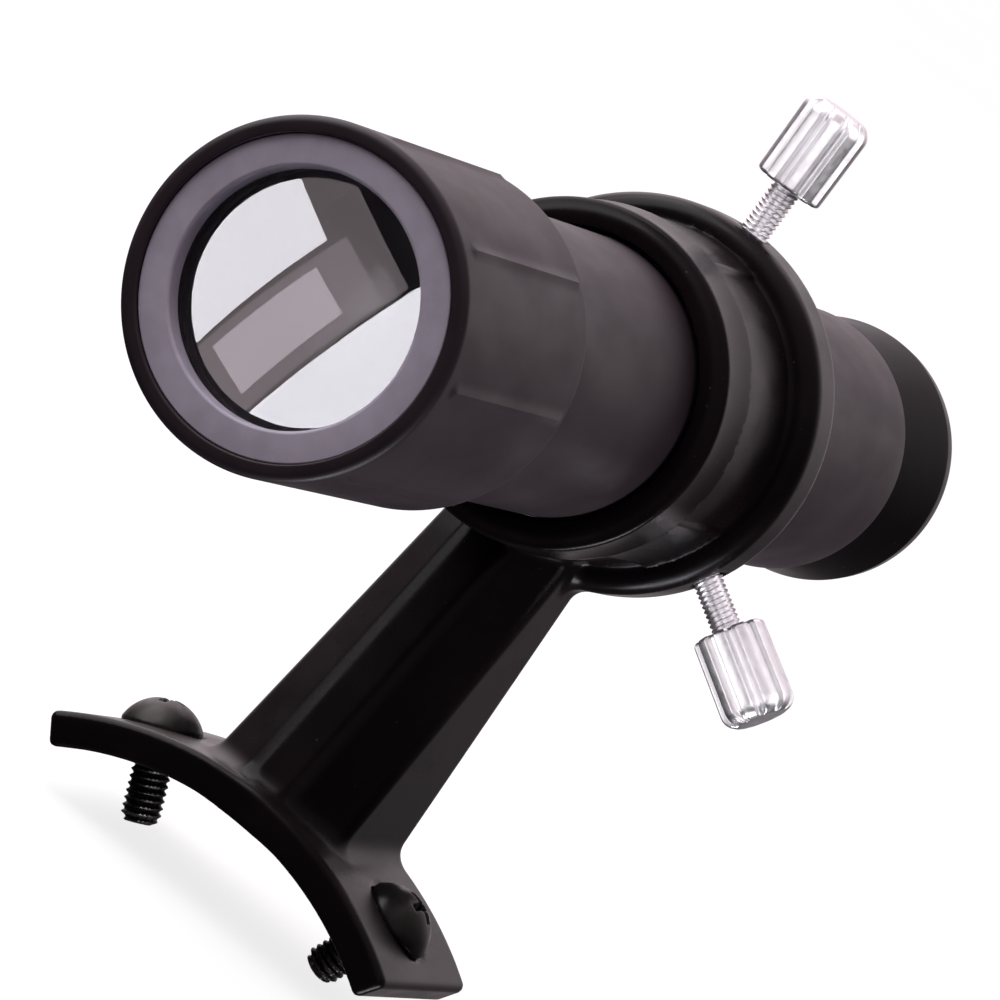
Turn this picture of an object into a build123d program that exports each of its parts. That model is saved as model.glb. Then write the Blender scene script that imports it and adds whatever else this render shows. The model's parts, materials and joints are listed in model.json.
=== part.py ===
from build123d import *
import math
import os

# A 5x24 straight-through finder scope for a small refracting telescope, with its one-piece
# moulded bracket. Millimetres. The origin is the middle of the saddle's concave seat, where
# it rests on the telescope tube. +Z is up through the leg, +Y runs back to the eyepiece, and
# the objective looks along -Y.

# ---- driving dimensions -------------------------------------------------------------------
AXIS_HEIGHT = 52.0            # finder axis above the seat

# saddle, leg and ring of the bracket
SEAT_RADIUS = 34.5            # outside radius of the telescope tube
SADDLE_THICKNESS = 3.5
SADDLE_LENGTH = 24.0
SADDLE_HALF_ANGLE = 34.0
SADDLE_EDGE_ROUND = 0.8
FOOT_SCREW_ANGLE = 23.5       # either side of the leg, round the telescope tube
SPOT_FACE_DEPTH = 0.35
SPOT_FACE_RADIUS = 4.3
LEG_FOOT_HALF_WIDTH = 8.0
LEG_TOP_HALF_WIDTH = 6.5
LEG_FLAT_HALF_WIDTH = 2.4     # the narrow flat down the leg's front
LEG_CHAMFER_DEPTH = 5.0
LEG_FOOT_FRONT = -11.6        # the leg's front face leans back from foot to ring
LEG_TOP_FRONT = 1.5
LEG_REAR = 11.6
LEG_EDGE_ROUND = 0.7
LEG_FOOT_LEVEL = 0.6          # the leg starts inside the saddle and ends inside the ring
LEG_TOP_LEVEL = 41.0
RING_FRONT = -13.8
RING_REAR = 14.5
FRONT_FLANGE_RADIUS = 16.9    # at its rear edge; it narrows towards the front
FRONT_FLANGE_FRONT_RADIUS = 16.1
FRONT_FLANGE_REAR = -6.8
REAR_FLANGE_RADIUS = 19.2
REAR_FLANGE_FRONT = 6.5
RING_WAIST_RADIUS = 16.5
RING_BORE_RADIUS = 15.2
RING_LIP_RADIUS = 13.8        # the narrow part of the bore, at the ring's front
RING_LIP_REAR = -9.8
RING_LIP_LEAD = 1.0           # length of the cone that opens the lip out into the bore
FRONT_FLANGE_ROUND = 1.5
REAR_FLANGE_ROUND = 2.0
BOSS_HALF_ANGLE = 14.0
BOSS_RADIUS = 16.8
BOSS_OVERLAP = 0.5            # how far a boss runs into the flange at either end

# rubber ring that the tube pivots on
O_RING_Y = -11.7
O_RING_SECTION = 0.98
O_RING_PITCH_RADIUS = 14.4
O_RING_GROOVE_HALF_WIDTH = 1.0

# adjusting screws: three M3 thumbscrews, 120 degrees apart
SCREW_Y = 11.0
SCREW_ANGLES = {"top": 0.0, "right": 120.0, "left": 240.0}
STUD_RADIUS = 1.5
STUD_TIP_GAP = 0.05
STUD_TIP_CHAMFER = 0.85
TAPPED_HOLE_RADIUS = 1.55
KNOB_START = 24.5             # distance of the knob's inner face from the finder axis
KNOB_LENGTH = 9.0
KNOB_RADIUS = 3.65
KNOB_BORE_RADIUS = 1.52
KNOB_FLUTES = 10
KNOB_FLUTE_RADIUS = 0.55
KNOB_END_CHAMFER = 1.3
KNOB_FACE_CHAMFER = 0.4
STUD_INSERTION = 5.5

# main tube
TUBE_RADIUS = 13.4
TUBE_BORE_RADIUS = 12.2
TUBE_FRONT = -75.9
TUBE_REAR = 59.0
TUBE_THREAD_RADIUS = 11.65
TUBE_THREAD_FRONT = 45.0
TUBE_END_CHAMFER = 0.3

# objective cell, the wider front shell with eight shallow flats
CELL_FRONT = -86.0
CELL_REAR = -51.5
CELL_RADIUS = 15.6
CELL_FLATS = 8
CELL_FLAT_APOTHEM = 14.65
CELL_CORNER_DIRECTION = 38.0  # one corner between two flats, from +Z towards +X
CELL_FLAT_FRONT = -83.2
CELL_FLAT_REAR = -54.2
CELL_RIM_ROUND = 0.7
CELL_SHOULDER_CHAMFER = 1.4
CLEAR_RADIUS = 11.2
LENS_RADIUS = 12.0
LENS_POCKET_RADIUS = 12.05
LENS_SEAT_Y = -77.55
SOCKET_FRONT = -76.0
SOCKET_RADIUS = 13.45
RETAINER_RADIUS = 14.0
RETAINER_POCKET_RADIUS = 14.05
RETAINER_FRONT = -85.6
RETAINER_REAR = -83.4

# objective glass: a crown and a flint with a thin spacer between their edges
CROWN_EDGE = (-83.24, -81.0)
CROWN_SAGS = (1.0, 1.2)
FLINT_EDGE = (-80.0, -77.6)
FLINT_SAGS = (-1.3, 0.3)
OBJECTIVE_SPACER = (-80.85, -80.0)
OBJECTIVE_SPACER_BORE = 11.4

# inside the tube
INSERT_RADIUS = 12.15
BAFFLE = (-21.0, -19.0)
BAFFLE_BORE_RADIUS = 9.5
RETICLE = (38.0, 40.0)
RETICLE_BORE_RADIUS = 7.5
WIRE_RADIUS = 0.06
WIRE_HALF_LENGTH = 9.0
WIRE_SPACING = 0.13

# eyepiece
BARREL_FRONT = 47.0
BARREL_REAR = 72.5
BARREL_RADIUS = 11.6
BARREL_BORE_RADIUS = 10.4
BARREL_LIP_RADIUS = 9.3
BARREL_LIP_REAR = 49.0
EYE_GLASS_RADIUS = 10.35
FIELD_LENS_EDGE = (49.05, 50.6)
FIELD_LENS_SAGS = (0.0, 1.5)
EYE_LENS_EDGE = (60.3, 61.9)
EYE_LENS_SAGS = (1.5, 1.2)
EYEPIECE_SPACER = (50.9, 60.0)
EYEPIECE_SPACER_BORE = 9.5
EYE_RETAINER = (62.15, 64.3)
EYE_RETAINER_BORE = 9.3
FOCUS_RING_FRONT = 61.0
FOCUS_RING_REAR = 77.5
FOCUS_RING_BORE = 11.63
FOCUS_RING_NECK_RADIUS = 12.3
FOCUS_RING_RADIUS = 13.6
FOCUS_RING_CROWN_Y = 74.6
FOCUS_RING_STEP = 73.0
EYE_OPENING_RADIUS = 8.2
EYE_OPENING_REAR = 74.8
EYE_DISH_RADIUS = 11.0

# foot screws: M4 pan heads, the free ends go into the telescope tube
FOOT_SCREW_RADIUS = 2.0
FOOT_NECK_RADIUS = 1.75       # the unthreaded part under the head
FOOT_NECK_PAST_SEAT = 0.3
FOOT_HOLE_RADIUS = 2.2
FOOT_SCREW_REACH = 6.0        # free end below the seat
FOOT_HEAD_RADIUS = 4.0
FOOT_HEAD_HEIGHT = 3.1
FOOT_HEAD_ROUND = 1.9
CROSS_RECESS_LENGTH = 3.6
CROSS_RECESS_WIDTH = 0.9
CROSS_RECESS_DEPTH = 1.4

FINDER_AXIS = Axis((0, 0, AXIS_HEIGHT), (0, 1, 0))
# sketch plane along the finder axis: local x is +Y, local y is the radius
AXIAL_PLANE = Plane(origin=(0, 0, AXIS_HEIGHT), x_dir=(0, 1, 0), z_dir=(1, 0, 0))


# ---- helpers --------------------------------------------------------------------------------
def cross_plane(y, height=AXIS_HEIGHT):
    """A plane across the finder at y, facing +Y, with local x along +Z and local y along +X."""
    return Plane(origin=(0, y, height), x_dir=(0, 0, 1), z_dir=(0, 1, 0))


def radial_plane(angle, y, centre_height, distance=0.0):
    """A plane facing outwards from an axis along Y, at an angle from +Z towards +X."""
    turn = math.radians(angle)
    outwards = (math.sin(turn), 0, math.cos(turn))
    origin = (distance * outwards[0], y, centre_height + distance * outwards[2])
    return Plane(origin=origin, x_dir=(0, 1, 0), z_dir=outwards)


def turned(points, rounds=None):
    """A piece turned about the finder axis from (y, radius) points.

    rounds maps a point's index to the radius that rounds its corner."""
    with BuildPart() as piece:
        with BuildSketch(AXIAL_PLANE) as outline:
            with BuildLine():
                Polyline(*points, close=True)
            make_face()
            for index, radius in (rounds or {}).items():
                corner = outline.vertices().sort_by_distance(points[index])[0]
                fillet(corner, radius=radius)
        revolve(axis=FINDER_AXIS)
    return piece


def spherical_mid_point(edge_y, radius, sag, outward):
    """The point halfway up a lens face whose centre stands sag beyond its edge."""
    half = radius / 2
    if sag == 0:
        return (edge_y, half)
    sphere = (radius**2 + sag**2) / (2 * abs(sag))
    drop = sphere - math.sqrt(sphere**2 - half**2)
    rise = math.copysign(abs(sag) - drop, sag)
    return (edge_y + outward * rise, half)


def lens(edge, sags, radius):
    """A lens between two edge planes; a positive sag bulges outwards, a negative one is hollow."""
    front_edge, rear_edge = edge
    front_sag, rear_sag = sags
    front_pole = (front_edge - front_sag, 0)
    rear_pole = (rear_edge + rear_sag, 0)
    with BuildPart() as piece:
        with BuildSketch(AXIAL_PLANE):
            with BuildLine():
                if front_sag == 0:
                    Line(front_pole, (front_edge, radius))
                else:
                    front_mid = spherical_mid_point(front_edge, radius, front_sag, -1)
                    ThreePointArc(front_pole, front_mid, (front_edge, radius))
                Line((front_edge, radius), (rear_edge, radius))
                rear_mid = spherical_mid_point(rear_edge, radius, rear_sag, 1)
                ThreePointArc((rear_edge, radius), rear_mid, rear_pole)
                Line(rear_pole, front_pole)
            make_face()
        revolve(axis=FINDER_AXIS)
    return piece


def plain_ring(span, bore, radius):
    """A plain ring of rectangular section between two planes across the axis."""
    front, rear = span
    return turned([(front, bore), (front, radius), (rear, radius), (rear, bore)])


def leg_outline(front, rear, half_width):
    """Points of the leg's cross-section: a narrow front flat, two chamfers and a square back."""
    side = front + LEG_CHAMFER_DEPTH
    half = [(LEG_FLAT_HALF_WIDTH, front), (half_width, side), (half_width, rear)]
    mirrored = [(-x, y) for x, y in reversed(half)]
    return half + mirrored


# ---- bracket: saddle, leg and ring in one moulding -----------------------------------------
with BuildPart() as leg:
    with BuildSketch(Plane.XY.offset(LEG_FOOT_LEVEL)):
        Polygon(*leg_outline(LEG_FOOT_FRONT, LEG_REAR, LEG_FOOT_HALF_WIDTH), align=None)
    with BuildSketch(Plane.XY.offset(LEG_TOP_LEVEL)):
        Polygon(*leg_outline(LEG_TOP_FRONT, LEG_REAR, LEG_TOP_HALF_WIDTH), align=None)
    loft()
    long_edges = leg.edges().filter_by(lambda edge: edge.length > LEG_TOP_LEVEL / 2)
    fillet(long_edges, radius=LEG_EDGE_ROUND)

ring_profile = [
    (RING_FRONT, RING_LIP_RADIUS),
    (RING_FRONT, FRONT_FLANGE_FRONT_RADIUS),
    (FRONT_FLANGE_REAR, FRONT_FLANGE_RADIUS),
    (FRONT_FLANGE_REAR, RING_WAIST_RADIUS),
    (REAR_FLANGE_FRONT, RING_WAIST_RADIUS),
    (REAR_FLANGE_FRONT, REAR_FLANGE_RADIUS),
    (RING_REAR, REAR_FLANGE_RADIUS),
    (RING_REAR, RING_LIP_RADIUS),
]
ring_rounds = {1: FRONT_FLANGE_ROUND, 5: REAR_FLANGE_ROUND, 6: REAR_FLANGE_ROUND}
ring_blank = turned(ring_profile, ring_rounds)

SADDLE_CENTRE = (0, -SEAT_RADIUS)
saddle_start = 90 - SADDLE_HALF_ANGLE
saddle_sweep = 2 * SADDLE_HALF_ANGLE

with BuildPart() as mount_bracket:
    with BuildSketch(Plane.XZ):
        with BuildLine():
            seat = CenterArc(SADDLE_CENTRE, SEAT_RADIUS, saddle_start, saddle_sweep)
            back = CenterArc(SADDLE_CENTRE, SEAT_RADIUS + SADDLE_THICKNESS, saddle_start, saddle_sweep)
            Line(seat @ 0, back @ 0)
            Line(seat @ 1, back @ 1)
        make_face()
    extrude(amount=SADDLE_LENGTH / 2, both=True)
    top_face = mount_bracket.faces().sort_by(Axis.Z)[-1]
    fillet(top_face.edges(), radius=SADDLE_EDGE_ROUND)
    add(leg.part)
    add(ring_blank.part)
    # a raised boss in line with each adjusting screw, between the two flanges
    for boss_angle in SCREW_ANGLES.values():
        boss_start = boss_angle - BOSS_HALF_ANGLE
        with BuildSketch(cross_plane(FRONT_FLANGE_REAR - BOSS_OVERLAP)):
            with BuildLine():
                low = CenterArc((0, 0), RING_BORE_RADIUS, boss_start, 2 * BOSS_HALF_ANGLE)
                high = CenterArc((0, 0), BOSS_RADIUS, boss_start, 2 * BOSS_HALF_ANGLE)
                Line(low @ 0, high @ 0)
                Line(low @ 1, high @ 1)
            make_face()
        extrude(amount=REAR_FLANGE_FRONT - FRONT_FLANGE_REAR + 2 * BOSS_OVERLAP)
    # the bore, opened behind the front lip, and the O-ring's groove
    with BuildSketch(AXIAL_PLANE):
        with BuildLine():
            Polyline(
                (RING_FRONT - 1, 0),
                (RING_FRONT - 1, RING_LIP_RADIUS),
                (O_RING_Y - O_RING_GROOVE_HALF_WIDTH, RING_LIP_RADIUS),
                (O_RING_Y - O_RING_GROOVE_HALF_WIDTH, O_RING_PITCH_RADIUS + O_RING_SECTION),
                (O_RING_Y + O_RING_GROOVE_HALF_WIDTH, O_RING_PITCH_RADIUS + O_RING_SECTION),
                (O_RING_Y + O_RING_GROOVE_HALF_WIDTH, RING_LIP_RADIUS),
                (RING_LIP_REAR, RING_LIP_RADIUS),
                (RING_LIP_REAR + RING_LIP_LEAD, RING_BORE_RADIUS),
                (RING_REAR + 1, RING_BORE_RADIUS),
                (RING_REAR + 1, 0),
                close=True,
            )
        make_face()
    revolve(axis=FINDER_AXIS, mode=Mode.SUBTRACT)
    for screw_angle in SCREW_ANGLES.values():
        with Locations(radial_plane(screw_angle, SCREW_Y, AXIS_HEIGHT, REAR_FLANGE_RADIUS + 1)):
            Hole(radius=TAPPED_HOLE_RADIUS, depth=REAR_FLANGE_RADIUS - RING_BORE_RADIUS + 3)
    saddle_back = SEAT_RADIUS + SADDLE_THICKNESS
    for side in (-1, 1):
        with Locations(radial_plane(side * FOOT_SCREW_ANGLE, 0, -SEAT_RADIUS, saddle_back)):
            CounterBoreHole(
                radius=FOOT_HOLE_RADIUS,
                counter_bore_radius=SPOT_FACE_RADIUS,
                counter_bore_depth=SPOT_FACE_DEPTH,
                depth=2 * SADDLE_THICKNESS,
            )

# ---- rubber ring in the bracket's front flange ----------------------------------------------
with BuildPart() as pivot_o_ring:
    with BuildSketch(AXIAL_PLANE):
        with Locations((O_RING_Y, O_RING_PITCH_RADIUS)):
            Circle(O_RING_SECTION)
    revolve(axis=FINDER_AXIS)

# ---- foot screws ----------------------------------------------------------------------------
with BuildPart() as foot_screws:
    seat_distance = SEAT_RADIUS + SADDLE_THICKNESS - SPOT_FACE_DEPTH
    neck_length = SADDLE_THICKNESS - SPOT_FACE_DEPTH + FOOT_NECK_PAST_SEAT
    for side in (-1, 1):
        head_plane = radial_plane(side * FOOT_SCREW_ANGLE, 0, -SEAT_RADIUS, seat_distance)
        with BuildSketch(head_plane):
            Circle(FOOT_HEAD_RADIUS)
        extrude(amount=FOOT_HEAD_HEIGHT)
        head_rim = foot_screws.edges().sort_by(Axis(head_plane.origin, head_plane.z_dir))[-1]
        fillet(head_rim, radius=FOOT_HEAD_ROUND)
        with BuildSketch(head_plane.offset(FOOT_HEAD_HEIGHT)):
            Rectangle(CROSS_RECESS_LENGTH, CROSS_RECESS_WIDTH)
            Rectangle(CROSS_RECESS_WIDTH, CROSS_RECESS_LENGTH)
        extrude(amount=-CROSS_RECESS_DEPTH, mode=Mode.SUBTRACT)
        with BuildSketch(head_plane):
            Circle(FOOT_NECK_RADIUS)
        extrude(amount=-neck_length)
        with BuildSketch(head_plane.offset(-neck_length)):
            Circle(FOOT_SCREW_RADIUS)
        extrude(amount=FOOT_NECK_PAST_SEAT - FOOT_SCREW_REACH)


# ---- adjusting screws: threaded stud and fluted knob -----------------------------------------
def adjusting_stud(angle):
    """A stud that runs from just off the tube's wall to inside its knob."""
    tip_distance = TUBE_RADIUS + STUD_TIP_GAP
    tip_plane = radial_plane(angle, SCREW_Y, AXIS_HEIGHT, tip_distance)
    with BuildPart() as stud:
        with BuildSketch(tip_plane):
            Circle(STUD_RADIUS)
        extrude(amount=KNOB_START + STUD_INSERTION - tip_distance)
        tip_edge = stud.edges().sort_by(Axis(tip_plane.origin, tip_plane.z_dir))[0]
        chamfer(tip_edge, length=STUD_TIP_CHAMFER)
    return stud


def adjusting_knob(angle):
    """A fluted knob with a rounded-off outer end and a blind bore for its stud."""
    face_plane = radial_plane(angle, SCREW_Y, AXIS_HEIGHT, KNOB_START)
    outwards = Axis(face_plane.origin, face_plane.z_dir)
    with BuildPart() as knob:
        with BuildSketch(face_plane):
            Circle(KNOB_RADIUS)
        extrude(amount=KNOB_LENGTH)
        chamfer(knob.edges().sort_by(outwards)[-1], length=KNOB_END_CHAMFER, length2=KNOB_END_CHAMFER)
        chamfer(knob.edges().sort_by(outwards)[0], length=KNOB_FACE_CHAMFER)
        with BuildSketch(face_plane):
            with PolarLocations(KNOB_RADIUS + KNOB_FLUTE_RADIUS / 3, KNOB_FLUTES):
                Circle(KNOB_FLUTE_RADIUS)
        extrude(amount=KNOB_LENGTH, mode=Mode.SUBTRACT)
        with BuildSketch(face_plane):
            Circle(KNOB_BORE_RADIUS)
        extrude(amount=STUD_INSERTION + STUD_TIP_GAP, mode=Mode.SUBTRACT)
    return knob


studs = {side: adjusting_stud(angle) for side, angle in SCREW_ANGLES.items()}
knobs = {side: adjusting_knob(angle) for side, angle in SCREW_ANGLES.items()}

# ---- main tube ------------------------------------------------------------------------------
main_tube = turned(
    [
        (TUBE_FRONT, TUBE_BORE_RADIUS),
        (TUBE_FRONT, TUBE_RADIUS),
        (TUBE_REAR, TUBE_RADIUS),
        (TUBE_REAR, TUBE_THREAD_RADIUS),
        (TUBE_THREAD_FRONT, TUBE_THREAD_RADIUS),
        (TUBE_THREAD_FRONT, TUBE_BORE_RADIUS),
    ],
    {2: TUBE_END_CHAMFER},
)

# ---- objective cell ---------------------------------------------------------------------------
cell_blank = turned(
    [
        (CELL_FRONT, RETAINER_POCKET_RADIUS),
        (CELL_FRONT, CELL_RADIUS),
        (CELL_REAR - CELL_SHOULDER_CHAMFER, CELL_RADIUS),
        (CELL_REAR, CELL_RADIUS - CELL_SHOULDER_CHAMFER),
        (CELL_REAR, SOCKET_RADIUS),
        (SOCKET_FRONT, SOCKET_RADIUS),
        (SOCKET_FRONT, CLEAR_RADIUS),
        (LENS_SEAT_Y, CLEAR_RADIUS),
        (LENS_SEAT_Y, LENS_POCKET_RADIUS),
        (RETAINER_REAR, LENS_POCKET_RADIUS),
        (RETAINER_REAR, RETAINER_POCKET_RADIUS),
    ],
    {1: CELL_RIM_ROUND, 2: CELL_SHOULDER_CHAMFER},
)
with BuildPart() as objective_cell:
    add(cell_blank.part)
    # shave eight long flats, leaving narrow round lands between them
    with BuildSketch(cross_plane(CELL_FLAT_FRONT)):
        Circle(CELL_RADIUS + 1)
        RegularPolygon(
            CELL_FLAT_APOTHEM,
            CELL_FLATS,
            major_radius=False,
            rotation=CELL_CORNER_DIRECTION,
            mode=Mode.SUBTRACT,
        )
    extrude(amount=CELL_FLAT_REAR - CELL_FLAT_FRONT, mode=Mode.SUBTRACT)

objective_retaining_ring = turned(
    [
        (RETAINER_FRONT, CLEAR_RADIUS),
        (RETAINER_FRONT, RETAINER_RADIUS),
        (RETAINER_REAR, RETAINER_RADIUS),
        (RETAINER_REAR, CLEAR_RADIUS),
    ],
    {0: 0.4},
)

# ---- glass and the rings that hold it -----------------------------------------------------
objective_crown_lens = lens(CROWN_EDGE, CROWN_SAGS, LENS_RADIUS)
objective_flint_lens = lens(FLINT_EDGE, FLINT_SAGS, LENS_RADIUS)
objective_spacer = plain_ring(OBJECTIVE_SPACER, OBJECTIVE_SPACER_BORE, LENS_RADIUS)
tube_baffle = plain_ring(BAFFLE, BAFFLE_BORE_RADIUS, INSERT_RADIUS)
reticle_ring = plain_ring(RETICLE, RETICLE_BORE_RADIUS, INSERT_RADIUS)

# two fine wires, one just in front of the other, across the reticle ring's front face
with BuildPart() as crosshair_wires:
    for wire_index, wire_angle in enumerate((0, 90)):
        wire_y = RETICLE[0] - WIRE_RADIUS - wire_index * WIRE_SPACING
        wire_plane = radial_plane(wire_angle, wire_y, AXIS_HEIGHT)
        with BuildSketch(wire_plane):
            Circle(WIRE_RADIUS)
        extrude(amount=WIRE_HALF_LENGTH, both=True)

# ---- eyepiece ---------------------------------------------------------------------------------
eyepiece_barrel = turned(
    [
        (BARREL_FRONT, BARREL_LIP_RADIUS),
        (BARREL_FRONT, BARREL_RADIUS),
        (BARREL_REAR, BARREL_RADIUS),
        (BARREL_REAR, BARREL_BORE_RADIUS),
        (BARREL_LIP_REAR, BARREL_BORE_RADIUS),
        (BARREL_LIP_REAR, BARREL_LIP_RADIUS),
    ]
)
field_lens = lens(FIELD_LENS_EDGE, FIELD_LENS_SAGS, EYE_GLASS_RADIUS)
eye_lens = lens(EYE_LENS_EDGE, EYE_LENS_SAGS, EYE_GLASS_RADIUS)
eyepiece_spacer = plain_ring(EYEPIECE_SPACER, EYEPIECE_SPACER_BORE, EYE_GLASS_RADIUS)
eye_retaining_ring = plain_ring(EYE_RETAINER, EYE_RETAINER_BORE, EYE_GLASS_RADIUS)

focus_ring = turned(
    [
        (FOCUS_RING_FRONT, FOCUS_RING_BORE),
        (FOCUS_RING_FRONT, FOCUS_RING_NECK_RADIUS),
        (FOCUS_RING_CROWN_Y, FOCUS_RING_RADIUS),
        (FOCUS_RING_REAR, FOCUS_RING_RADIUS - 0.3),
        (FOCUS_RING_REAR, EYE_DISH_RADIUS),
        (EYE_OPENING_REAR, EYE_OPENING_RADIUS),
        (FOCUS_RING_STEP, EYE_OPENING_RADIUS),
        (FOCUS_RING_STEP, FOCUS_RING_BORE),
    ],
    {3: 1.6, 4: 0.6},
)

# ---- labels and files ------------------------------------------------------------------------
pieces = {
    "mount_bracket": mount_bracket,
    "pivot_o_ring": pivot_o_ring,
    "foot_screws": foot_screws,
    "main_tube": main_tube,
    "objective_cell": objective_cell,
    "objective_retaining_ring": objective_retaining_ring,
    "objective_crown_lens": objective_crown_lens,
    "objective_spacer": objective_spacer,
    "objective_flint_lens": objective_flint_lens,
    "tube_baffle": tube_baffle,
    "reticle_ring": reticle_ring,
    "crosshair_wires": crosshair_wires,
    "eyepiece_barrel": eyepiece_barrel,
    "field_lens": field_lens,
    "eyepiece_spacer": eyepiece_spacer,
    "eye_lens": eye_lens,
    "eye_retaining_ring": eye_retaining_ring,
    "focus_ring": focus_ring,
}
for side in SCREW_ANGLES:
    pieces[f"adjusting_stud_{side}"] = studs[side]
    pieces[f"adjusting_knob_{side}"] = knobs[side]

os.makedirs("parts", exist_ok=True)
for name, piece in pieces.items():
    piece.part.label = name
    export_step(piece.part, f"parts/{name}.step")
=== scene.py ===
import json
import math

import bmesh
import bpy
import numpy as np
from mathutils import Matrix, Vector

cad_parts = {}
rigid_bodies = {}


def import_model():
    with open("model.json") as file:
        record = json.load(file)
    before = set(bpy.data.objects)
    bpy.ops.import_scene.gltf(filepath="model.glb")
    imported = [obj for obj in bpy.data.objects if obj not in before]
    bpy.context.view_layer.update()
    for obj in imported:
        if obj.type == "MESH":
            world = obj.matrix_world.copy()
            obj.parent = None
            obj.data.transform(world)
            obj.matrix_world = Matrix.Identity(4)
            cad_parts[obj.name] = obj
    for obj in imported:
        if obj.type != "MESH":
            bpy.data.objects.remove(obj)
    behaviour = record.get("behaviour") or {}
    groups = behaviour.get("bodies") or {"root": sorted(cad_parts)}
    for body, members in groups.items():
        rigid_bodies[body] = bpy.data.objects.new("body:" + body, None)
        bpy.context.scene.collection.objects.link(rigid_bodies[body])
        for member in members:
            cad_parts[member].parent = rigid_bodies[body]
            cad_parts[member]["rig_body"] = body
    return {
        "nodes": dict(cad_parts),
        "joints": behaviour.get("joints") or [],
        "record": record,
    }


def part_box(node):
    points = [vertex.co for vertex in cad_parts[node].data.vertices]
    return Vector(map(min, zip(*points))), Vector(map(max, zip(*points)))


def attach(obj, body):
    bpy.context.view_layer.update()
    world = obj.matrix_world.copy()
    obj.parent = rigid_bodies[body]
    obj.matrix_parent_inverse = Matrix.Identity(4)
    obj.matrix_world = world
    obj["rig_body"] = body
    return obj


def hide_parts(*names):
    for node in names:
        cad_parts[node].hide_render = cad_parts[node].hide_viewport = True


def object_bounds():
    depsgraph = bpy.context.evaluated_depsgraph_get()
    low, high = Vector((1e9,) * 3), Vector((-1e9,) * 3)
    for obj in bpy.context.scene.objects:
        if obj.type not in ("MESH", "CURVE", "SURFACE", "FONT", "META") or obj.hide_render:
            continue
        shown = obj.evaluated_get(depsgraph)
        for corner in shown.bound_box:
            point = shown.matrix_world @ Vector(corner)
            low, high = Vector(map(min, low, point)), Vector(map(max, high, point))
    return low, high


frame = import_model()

# A small finder scope in its moulded bracket. Shapes are worked out in millimetres in the
# CAD's own frame, +Z up and +Y back to the eyepiece, and turned into metres when meshed.

CAD_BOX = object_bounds()
MM = 0.001
JOINTS = {joint["name"]: joint for joint in frame["joints"]}
MOUNTS = {mount["name"]: mount for mount in frame["record"]["mounts"]}
SIDES = ("top", "right", "left")
NEARLY_UPRIGHT = 0.9


# ---- places read from the frame -------------------------------------------------------------
def node_box(node):
    """Lowest and highest corner of a CAD node, in millimetres."""
    low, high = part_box(node)
    return np.array(low) / MM, np.array(high) / MM


def axis_frame(origin, direction):
    """An axis as its origin and three unit vectors: along it, and two across it."""
    along = np.array(direction, float)
    along /= np.linalg.norm(along)
    upright = abs(along[2]) >= NEARLY_UPRIGHT
    hint = np.array((0.0, 1.0, 0.0) if upright else (0.0, 0.0, 1.0))
    across = hint - hint.dot(along) * along
    across /= np.linalg.norm(across)
    return np.array(origin, float), along, across, np.cross(along, across)


FINDER_Z = JOINTS["focus_ring_turn"]["pos_m"][2] / MM
FINDER_AXIS = axis_frame((0, 0, FINDER_Z), JOINTS["focus_ring_turn"]["axis"])


def span(node):
    """Front, rear and outer radius of a node that is turned about the finder's axis."""
    low, high = node_box(node)
    return low[1], high[1], high[0]


def node_points(node):
    """The vertices of a CAD node, in millimetres."""
    return np.array([vertex.co for vertex in frame["nodes"][node].data.vertices]) / MM


def bore(node):
    """Smallest radius about the finder's axis at which a node has material."""
    points = node_points(node)
    return np.hypot(points[:, 0], points[:, 2] - FINDER_Z).min()


# ---- outlines ---------------------------------------------------------------------------------
ARC_STEPS = 8


def rounded(corners):
    """An outline from (along, radius, rounding) corners; a rounding above 0 becomes an arc."""
    outline = []
    count = len(corners)
    for index, (along, radius, rounding) in enumerate(corners):
        here = np.array((along, radius))
        if rounding == 0:
            outline.append(tuple(here))
            continue
        before = np.array(corners[index - 1][:2]) - here
        after = np.array(corners[(index + 1) % count][:2]) - here
        before /= np.linalg.norm(before)
        after /= np.linalg.norm(after)
        half = math.acos(np.clip(before.dot(after), -1, 1)) / 2
        middle = (before + after) / np.linalg.norm(before + after)
        centre = here + middle * rounding / math.sin(half)
        start = here + before * rounding / math.tan(half) - centre
        finish = here + after * rounding / math.tan(half) - centre
        sweep = math.pi - 2 * half
        for step in range(ARC_STEPS + 1):
            share = step / ARC_STEPS
            near = math.sin((1 - share) * sweep) / math.sin(sweep)
            far = math.sin(share * sweep) / math.sin(sweep)
            outline.append(tuple(centre + near * start + far * finish))
    return outline


def refined(outline, step):
    """The same closed outline with extra points, so that none are further apart than step."""
    fine = []
    for index, start in enumerate(outline):
        finish = outline[(index + 1) % len(outline)]
        pieces = max(1, math.ceil(math.dist(start, finish) / step))
        for piece in range(pieces):
            share = piece / pieces
            fine.append(tuple(a + (b - a) * share for a, b in zip(start, finish)))
    return fine


# ---- meshes -----------------------------------------------------------------------------------
SHARP_ANGLE = math.radians(38)
MERGE_DISTANCE = 1e-7            # metres
ON_AXIS_RADIUS = 1e-9


def finished_object(name, points, faces, node, slot, material):
    """An object from points in millimetres that stands for a CAD node and rides on its body."""
    mesh = bpy.data.meshes.new(name)
    mesh.from_pydata((np.asarray(points) * MM).tolist(), [], faces)
    tidy = bmesh.new()
    tidy.from_mesh(mesh)
    bmesh.ops.remove_doubles(tidy, verts=tidy.verts, dist=MERGE_DISTANCE)
    bmesh.ops.recalc_face_normals(tidy, faces=tidy.faces)
    tidy.to_mesh(mesh)
    tidy.free()
    mesh.shade_smooth()
    mesh.set_sharp_from_angle(angle=SHARP_ANGLE)
    mesh.materials.append(material)
    piece = bpy.data.objects.new(name, mesh)
    bpy.context.scene.collection.objects.link(piece)
    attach(piece, frame["nodes"][node]["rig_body"])
    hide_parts(node)
    return piece


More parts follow.
